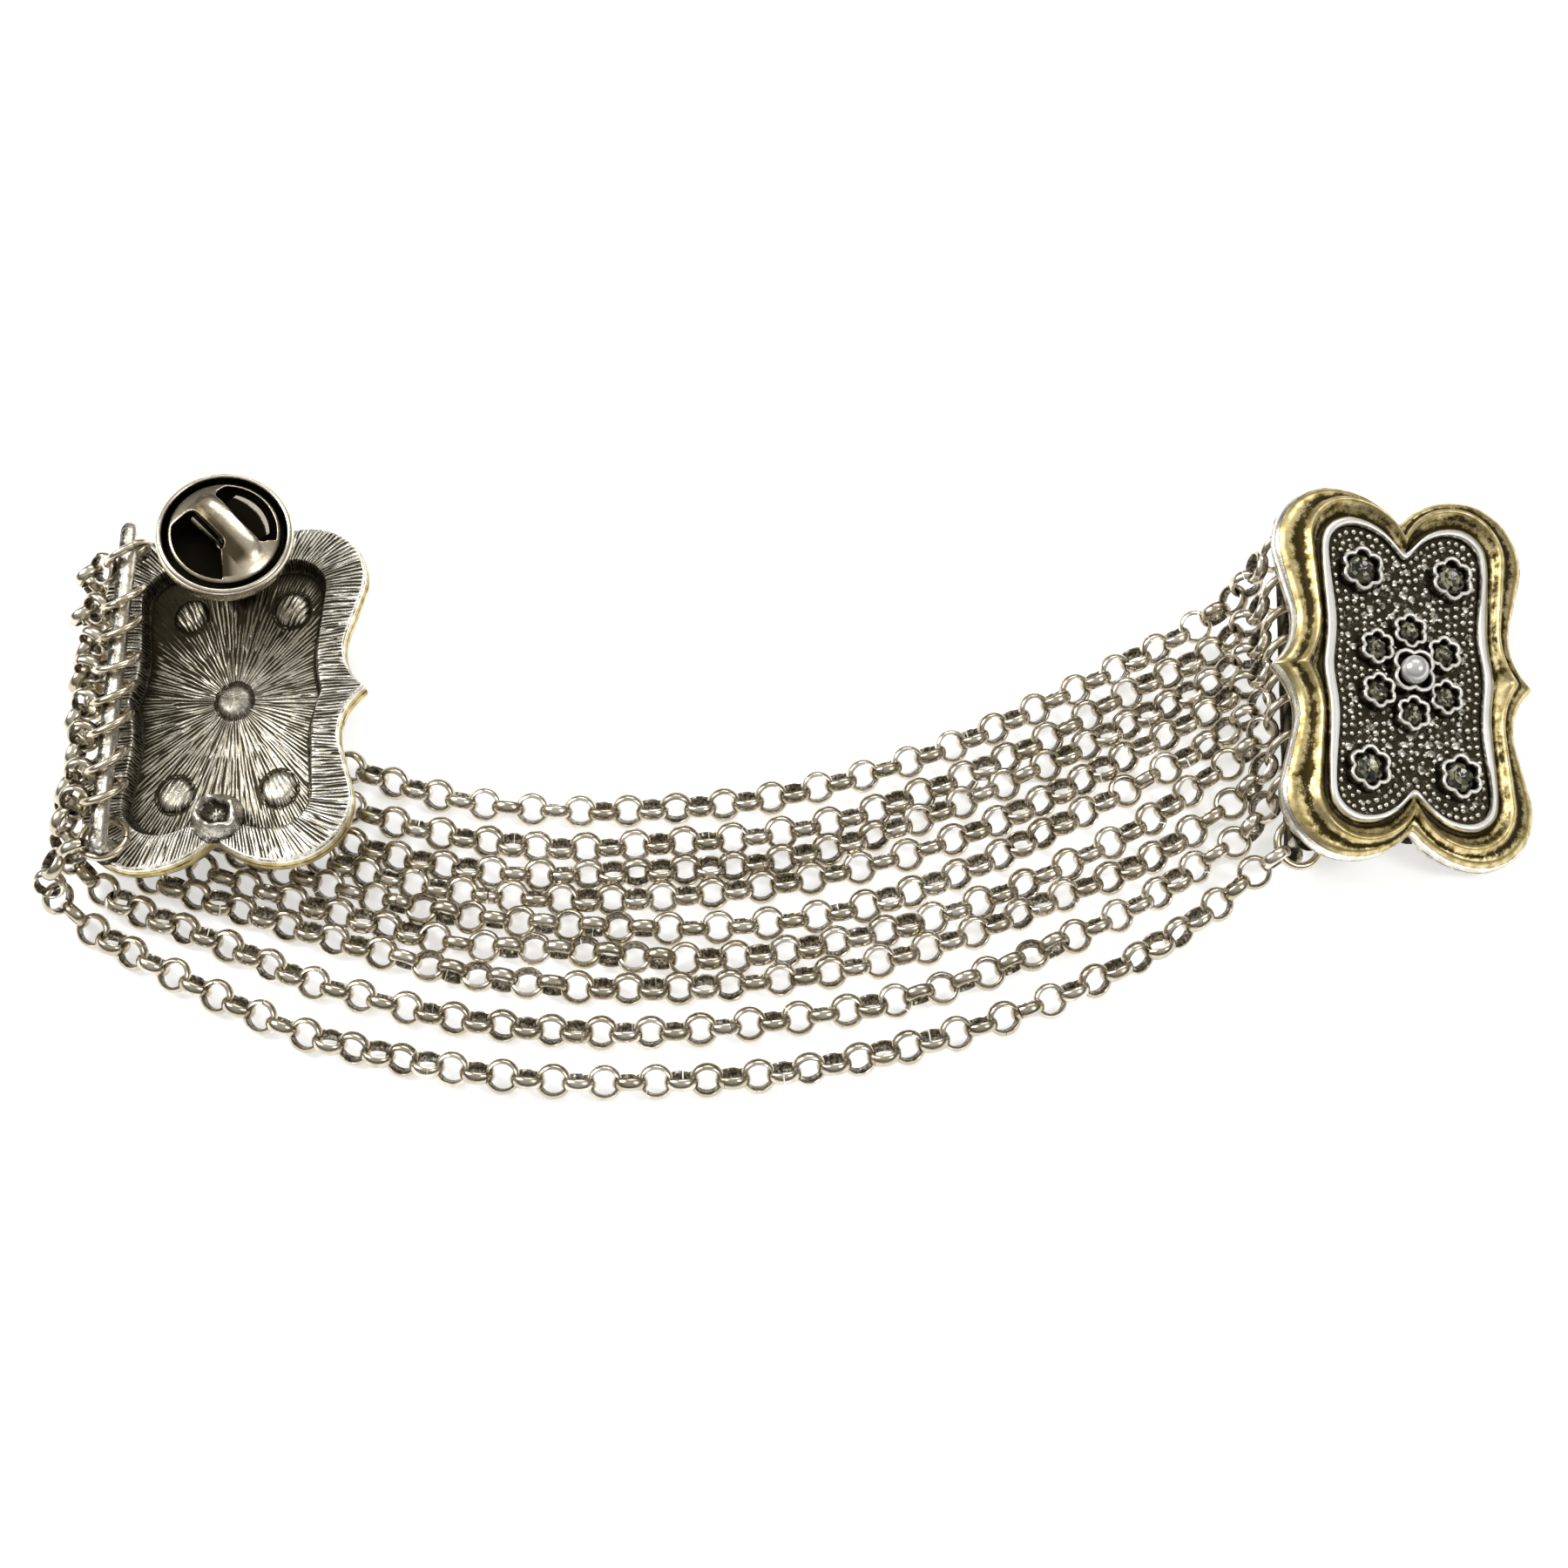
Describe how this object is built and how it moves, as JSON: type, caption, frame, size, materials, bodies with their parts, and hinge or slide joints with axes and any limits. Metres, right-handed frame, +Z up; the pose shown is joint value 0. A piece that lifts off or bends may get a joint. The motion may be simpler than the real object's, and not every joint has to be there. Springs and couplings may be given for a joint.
{
  "type": "chain brooch",
  "caption": "Jacket brooch of two ornamental cast plates, each with a pin post and clutch behind, joined by a row of draped belcher chains; one plate lies face down.",
  "frame": {"origin": "centre of the bounding box at its lowest level, the table", "axes": "+X along the brooch, from the plate lying face down to the one lying face up; +Y away from the viewer; +Z up from the table"},
  "size_m": [0.1244, 0.0542, 0.0157],
  "materials": {
    "antique_silver": "cast antique silver with dark patina in the hollows",
    "antique_gold": "antique gold frame round a blackened silver field",
    "chain_nickel": "polished warm nickel with dark insides",
    "ring_nickel": "polished warm nickel",
    "clutch_nickel": "polished nickel, slightly worn",
    "smoky_stone": "faceted smoky glass over foil",
    "pearl": "pearl lustre"
  },
  "bodies": {
    "brooch": {"left_plate": "antique_silver", "right_plate": "antique_gold", "left_pearl": "pearl", "right_pearl": "pearl", "left_stone_1": "smoky_stone", "left_stone_2": "smoky_stone", "left_stone_3": "smoky_stone", "left_stone_4": "smoky_stone", "left_stone_5": "smoky_stone", "left_stone_6": "smoky_stone", "left_stone_7": "smoky_stone", "left_stone_8": "smoky_stone", "left_stone_9": "smoky_stone", "left_stone_10": "smoky_stone", "right_stone_1": "smoky_stone", "right_stone_2": "smoky_stone", "right_stone_3": "smoky_stone", "right_stone_4": "smoky_stone", "right_stone_5": "smoky_stone", "right_stone_6": "smoky_stone", "right_stone_7": "smoky_stone", "right_stone_8": "smoky_stone", "right_stone_9": "smoky_stone", "right_stone_10": "smoky_stone", "left_ring_1": "ring_nickel", "left_ring_2": "ring_nickel", "left_ring_3": "ring_nickel", "left_ring_4": "ring_nickel", "left_ring_5": "ring_nickel", "left_ring_6": "ring_nickel", "left_ring_7": "ring_nickel", "left_ring_8": "ring_nickel", "left_ring_9": "ring_nickel", "right_ring_1": "ring_nickel", "right_ring_2": "ring_nickel", "right_ring_3": "ring_nickel", "right_ring_4": "ring_nickel", "right_ring_5": "ring_nickel", "right_ring_6": "ring_nickel", "right_ring_7": "ring_nickel", "right_ring_8": "ring_nickel", "right_ring_9": "ring_nickel", "chain_1": "chain_nickel", "chain_2": "chain_nickel", "chain_3": "chain_nickel", "chain_4": "chain_nickel", "chain_5": "chain_nickel", "chain_6": "chain_nickel", "chain_7": "chain_nickel", "chain_8": "chain_nickel", "chain_9": "chain_nickel", "right_clutch": "clutch_nickel"},
    "clutch": {"clutch_cup": "clutch_nickel", "clutch_spring": "clutch_nickel"}
  },
  "joints": [
    {"name": "clutch_pull", "type": "slide", "parent": "brooch", "child": "clutch", "axis": [-0.1149, -0.0006, 0.9934], "range_m": [-0.001, 0.004]}
  ]
}
